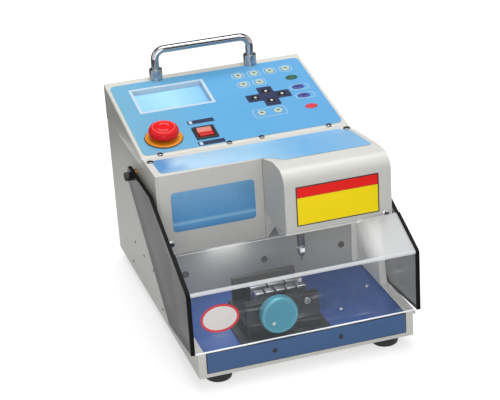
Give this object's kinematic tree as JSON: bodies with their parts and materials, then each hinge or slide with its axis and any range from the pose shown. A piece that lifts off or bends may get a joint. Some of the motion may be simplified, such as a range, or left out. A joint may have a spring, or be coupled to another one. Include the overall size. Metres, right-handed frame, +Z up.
{
  "type": "key duplicating machine",
  "caption": "Bench key cutting machine: hinged clear shield over a key vise and vertical spindle, rear body with a sloping control panel and carry handle.",
  "frame": {"origin": "under the middle of the machine, on the surface that its feet stand on", "axes": "+X to the machine's right seen from the front, +Y towards its rear, +Z up"},
  "size_m": [0.3146, 0.418, 0.3062],
  "materials": {
    "white_paint": "satin paint",
    "blue_paint": "satin paint",
    "foot_rubber": "matt",
    "plate_steel": "brushed",
    "cream_plastic": "semi gloss",
    "overlay_film": "satin film",
    "bezel_plastic": "matt",
    "display_glass": "clear",
    "black_plastic": "matt",
    "stop_yellow": "semi gloss",
    "stop_red": "gloss",
    "rocker_red": "translucent gloss",
    "handle_chrome": "polished",
    "smoked_sheet": "smoked clear",
    "clear_sheet": "clear",
    "bright_steel": "ground",
    "table_alloy": "milled",
    "motor_black": "satin",
    "vise_iron": "blackened",
    "knob_cyan": "anodised",
    "spindle_chrome": "polished",
    "board_green": "satin",
    "screw_chrome": "plated",
    "key_pale": "satin",
    "key_dark": "satin",
    "key_green": "satin",
    "key_violet": "satin",
    "key_red": "satin"
  },
  "bodies": {
    "housing": {"base_pan": "white_paint", "blue_front_panel": "blue_paint", "tray_floor": "blue_paint", "rubber_feet": "foot_rubber", "left_side_panel": "white_paint", "right_side_panel": "white_paint", "rear_panel": "white_paint", "column_plate": "plate_steel", "head_cover": "white_paint", "spindle_head_cover": "white_paint", "console_shell": "cream_plastic", "panel_overlay": "overlay_film", "display_bezel": "bezel_plastic", "display_window": "display_glass", "display_module": "black_plastic", "stop_collar": "stop_yellow", "switch_bezel": "black_plastic", "carry_handle": "handle_chrome", "handle_ferrules": "handle_chrome", "shield_pivots": "black_plastic", "y_rails": "bright_steel", "z_rails": "bright_steel", "axis_motors": "motor_black", "power_inlet": "black_plastic", "electronics": "board_green", "cover_screws": "screw_chrome"},
    "shield": {"shield_left_plate": "smoked_sheet", "shield_right_plate": "smoked_sheet", "shield_front_sheet": "clear_sheet"},
    "stop_plunger": {"stop_plunger": "black_plastic"},
    "stop_head": {"stop_head": "stop_red"},
    "power_rocker": {"power_rocker": "rocker_red"},
    "menu_key_1": {"menu_key_1": "key_pale"},
    "menu_key_2": {"menu_key_2": "key_pale"},
    "menu_key_3": {"menu_key_3": "key_pale"},
    "menu_key_4": {"menu_key_4": "key_pale"},
    "menu_key_5": {"menu_key_5": "key_pale"},
    "menu_key_6": {"menu_key_6": "key_pale"},
    "edit_key_1": {"edit_key_1": "key_pale"},
    "edit_key_2": {"edit_key_2": "key_pale"},
    "arrow_key_left": {"arrow_key_left": "key_dark"},
    "arrow_key_right": {"arrow_key_right": "key_dark"},
    "arrow_key_up": {"arrow_key_up": "key_dark"},
    "arrow_key_down": {"arrow_key_down": "key_dark"},
    "start_key": {"start_key": "key_green"},
    "zero_key": {"zero_key": "key_violet"},
    "light_key": {"light_key": "key_violet"},
    "cancel_key": {"cancel_key": "key_red"},
    "y_saddle": {"y_saddle": "table_alloy", "x_motor": "motor_black"},
    "y_screw": {"y_screw": "bright_steel"},
    "x_screw": {"x_screw": "bright_steel"},
    "x_carriage": {"x_carriage": "table_alloy", "vise_body": "vise_iron"},
    "vise_knob": {"vise_knob": "knob_cyan"},
    "vise_jaw": {"vise_jaw": "bright_steel"},
    "z_carriage": {"z_carriage": "table_alloy", "spindle_motor": "motor_black"},
    "z_screw": {"z_screw": "bright_steel"},
    "spindle": {"spindle": "spindle_chrome"}
  },
  "joints": [
    {"name": "shield_hinge", "type": "hinge", "parent": "housing", "child": "shield", "pos_m": [0, 0.047, 0.187], "axis": [-1, 0, 0], "range_deg": [0, 75]},
    {"name": "stop_press", "type": "slide", "parent": "housing", "child": "stop_plunger", "axis": [0, 0.184, -0.9829], "range_m": [0, 0.0035], "stiffness_N_per_m": 300},
    {"name": "stop_twist", "type": "hinge", "parent": "stop_plunger", "child": "stop_head", "pos_m": [-0.1, 0.04435, 0.23913], "axis": [0, -0.184, 0.9829], "range_deg": [0, 45], "stiffness_Nm_per_rad": 0.05},
    {"name": "rocker_tilt", "type": "hinge", "parent": "housing", "child": "power_rocker", "pos_m": [-0.045, 0.04275, 0.22866], "axis": [1, 0, 0], "range_deg": [-8, 8]},
    {"name": "menu_key_1_press", "type": "slide", "parent": "housing", "child": "menu_key_1", "axis": [0, 0.184, -0.9829], "range_m": [0, 0.0006], "stiffness_N_per_m": 400},
    {"name": "menu_key_2_press", "type": "slide", "parent": "housing", "child": "menu_key_2", "axis": [0, 0.184, -0.9829], "range_m": [0, 0.0006], "stiffness_N_per_m": 400},
    {"name": "menu_key_3_press", "type": "slide", "parent": "housing", "child": "menu_key_3", "axis": [0, 0.184, -0.9829], "range_m": [0, 0.0006], "stiffness_N_per_m": 400},
    {"name": "menu_key_4_press", "type": "slide", "parent": "housing", "child": "menu_key_4", "axis": [0, 0.184, -0.9829], "range_m": [0, 0.0006], "stiffness_N_per_m": 400},
    {"name": "menu_key_5_press", "type": "slide", "parent": "housing", "child": "menu_key_5", "axis": [0, 0.184, -0.9829], "range_m": [0, 0.0006], "stiffness_N_per_m": 400},
    {"name": "menu_key_6_press", "type": "slide", "parent": "housing", "child": "menu_key_6", "axis": [0, 0.184, -0.9829], "range_m": [0, 0.0006], "stiffness_N_per_m": 400},
    {"name": "edit_key_1_press", "type": "slide", "parent": "housing", "child": "edit_key_1", "axis": [0, 0.184, -0.9829], "range_m": [0, 0.0006], "stiffness_N_per_m": 400},
    {"name": "edit_key_2_press", "type": "slide", "parent": "housing", "child": "edit_key_2", "axis": [0, 0.184, -0.9829], "range_m": [0, 0.0006], "stiffness_N_per_m": 400},
    {"name": "arrow_key_left_press", "type": "slide", "parent": "housing", "child": "arrow_key_left", "axis": [0, 0.184, -0.9829], "range_m": [0, 0.0006], "stiffness_N_per_m": 400},
    {"name": "arrow_key_right_press", "type": "slide", "parent": "housing", "child": "arrow_key_right", "axis": [0, 0.184, -0.9829], "range_m": [0, 0.0006], "stiffness_N_per_m": 400},
    {"name": "arrow_key_up_press", "type": "slide", "parent": "housing", "child": "arrow_key_up", "axis": [0, 0.184, -0.9829], "range_m": [0, 0.0006], "stiffness_N_per_m": 400},
    {"name": "arrow_key_down_press", "type": "slide", "parent": "housing", "child": "arrow_key_down", "axis": [0, 0.184, -0.9829], "range_m": [0, 0.0006], "stiffness_N_per_m": 400},
    {"name": "start_key_press", "type": "slide", "parent": "housing", "child": "start_key", "axis": [0, 0.184, -0.9829], "range_m": [0, 0.0006], "stiffness_N_per_m": 400},
    {"name": "zero_key_press", "type": "slide", "parent": "housing", "child": "zero_key", "axis": [0, 0.184, -0.9829], "range_m": [0, 0.0006], "stiffness_N_per_m": 400},
    {"name": "light_key_press", "type": "slide", "parent": "housing", "child": "light_key", "axis": [0, 0.184, -0.9829], "range_m": [0, 0.0006], "stiffness_N_per_m": 400},
    {"name": "cancel_key_press", "type": "slide", "parent": "housing", "child": "cancel_key", "axis": [0, 0.184, -0.9829], "range_m": [0, 0.0006], "stiffness_N_per_m": 400},
    {"name": "y_slide", "type": "slide", "parent": "housing", "child": "y_saddle", "axis": [0, 1, 0], "range_m": [0, 0.028]},
    {"name": "y_screw_turn", "type": "hinge", "parent": "housing", "child": "y_screw", "pos_m": [0.1, -0.147, 0.0331], "axis": [0, 1, 0], "range_deg": [-10, 2530]},
    {"name": "x_slide", "type": "slide", "parent": "y_saddle", "child": "x_carriage", "axis": [1, 0, 0], "range_m": [-0.02, 0.02]},
    {"name": "x_screw_turn", "type": "hinge", "parent": "y_saddle", "child": "x_screw", "pos_m": [0, -0.147, 0.0319], "axis": [1, 0, 0], "range_deg": [-1810, 1810]},
    {"name": "knob_turn", "type": "hinge", "parent": "x_carriage", "child": "vise_knob", "pos_m": [-0.032, -0.147, 0.076], "axis": [0, 1, 0], "range_deg": [0, 1080]},
    {"name": "jaw_slide", "type": "slide", "parent": "x_carriage", "child": "vise_jaw", "axis": [0, 1, 0], "range_m": [-0.0001, 0.0061]},
    {"name": "z_slide", "type": "slide", "parent": "housing", "child": "z_carriage", "axis": [0, 0, -1], "range_m": [0, 0.013]},
    {"name": "z_screw_turn", "type": "hinge", "parent": "housing", "child": "z_screw", "pos_m": [0.07, -0.067, 0.18], "axis": [0, 0, -1], "range_deg": [-10, 1180]},
    {"name": "spindle_spin", "type": "hinge", "parent": "z_carriage", "child": "spindle", "pos_m": [0.024, -0.125, 0.15], "axis": [0, 0, 1], "continuous": true}
  ],
  "couplings": [
    {"joint": "y_screw_turn", "follows": "y_slide", "rad_per_m": 1570.8},
    {"joint": "x_screw_turn", "follows": "x_slide", "rad_per_m": 1570.8},
    {"joint": "z_screw_turn", "follows": "z_slide", "rad_per_m": 1570.8},
    {"joint": "jaw_slide", "follows": "knob_turn", "m_per_rad": 0.00031831}
  ]
}
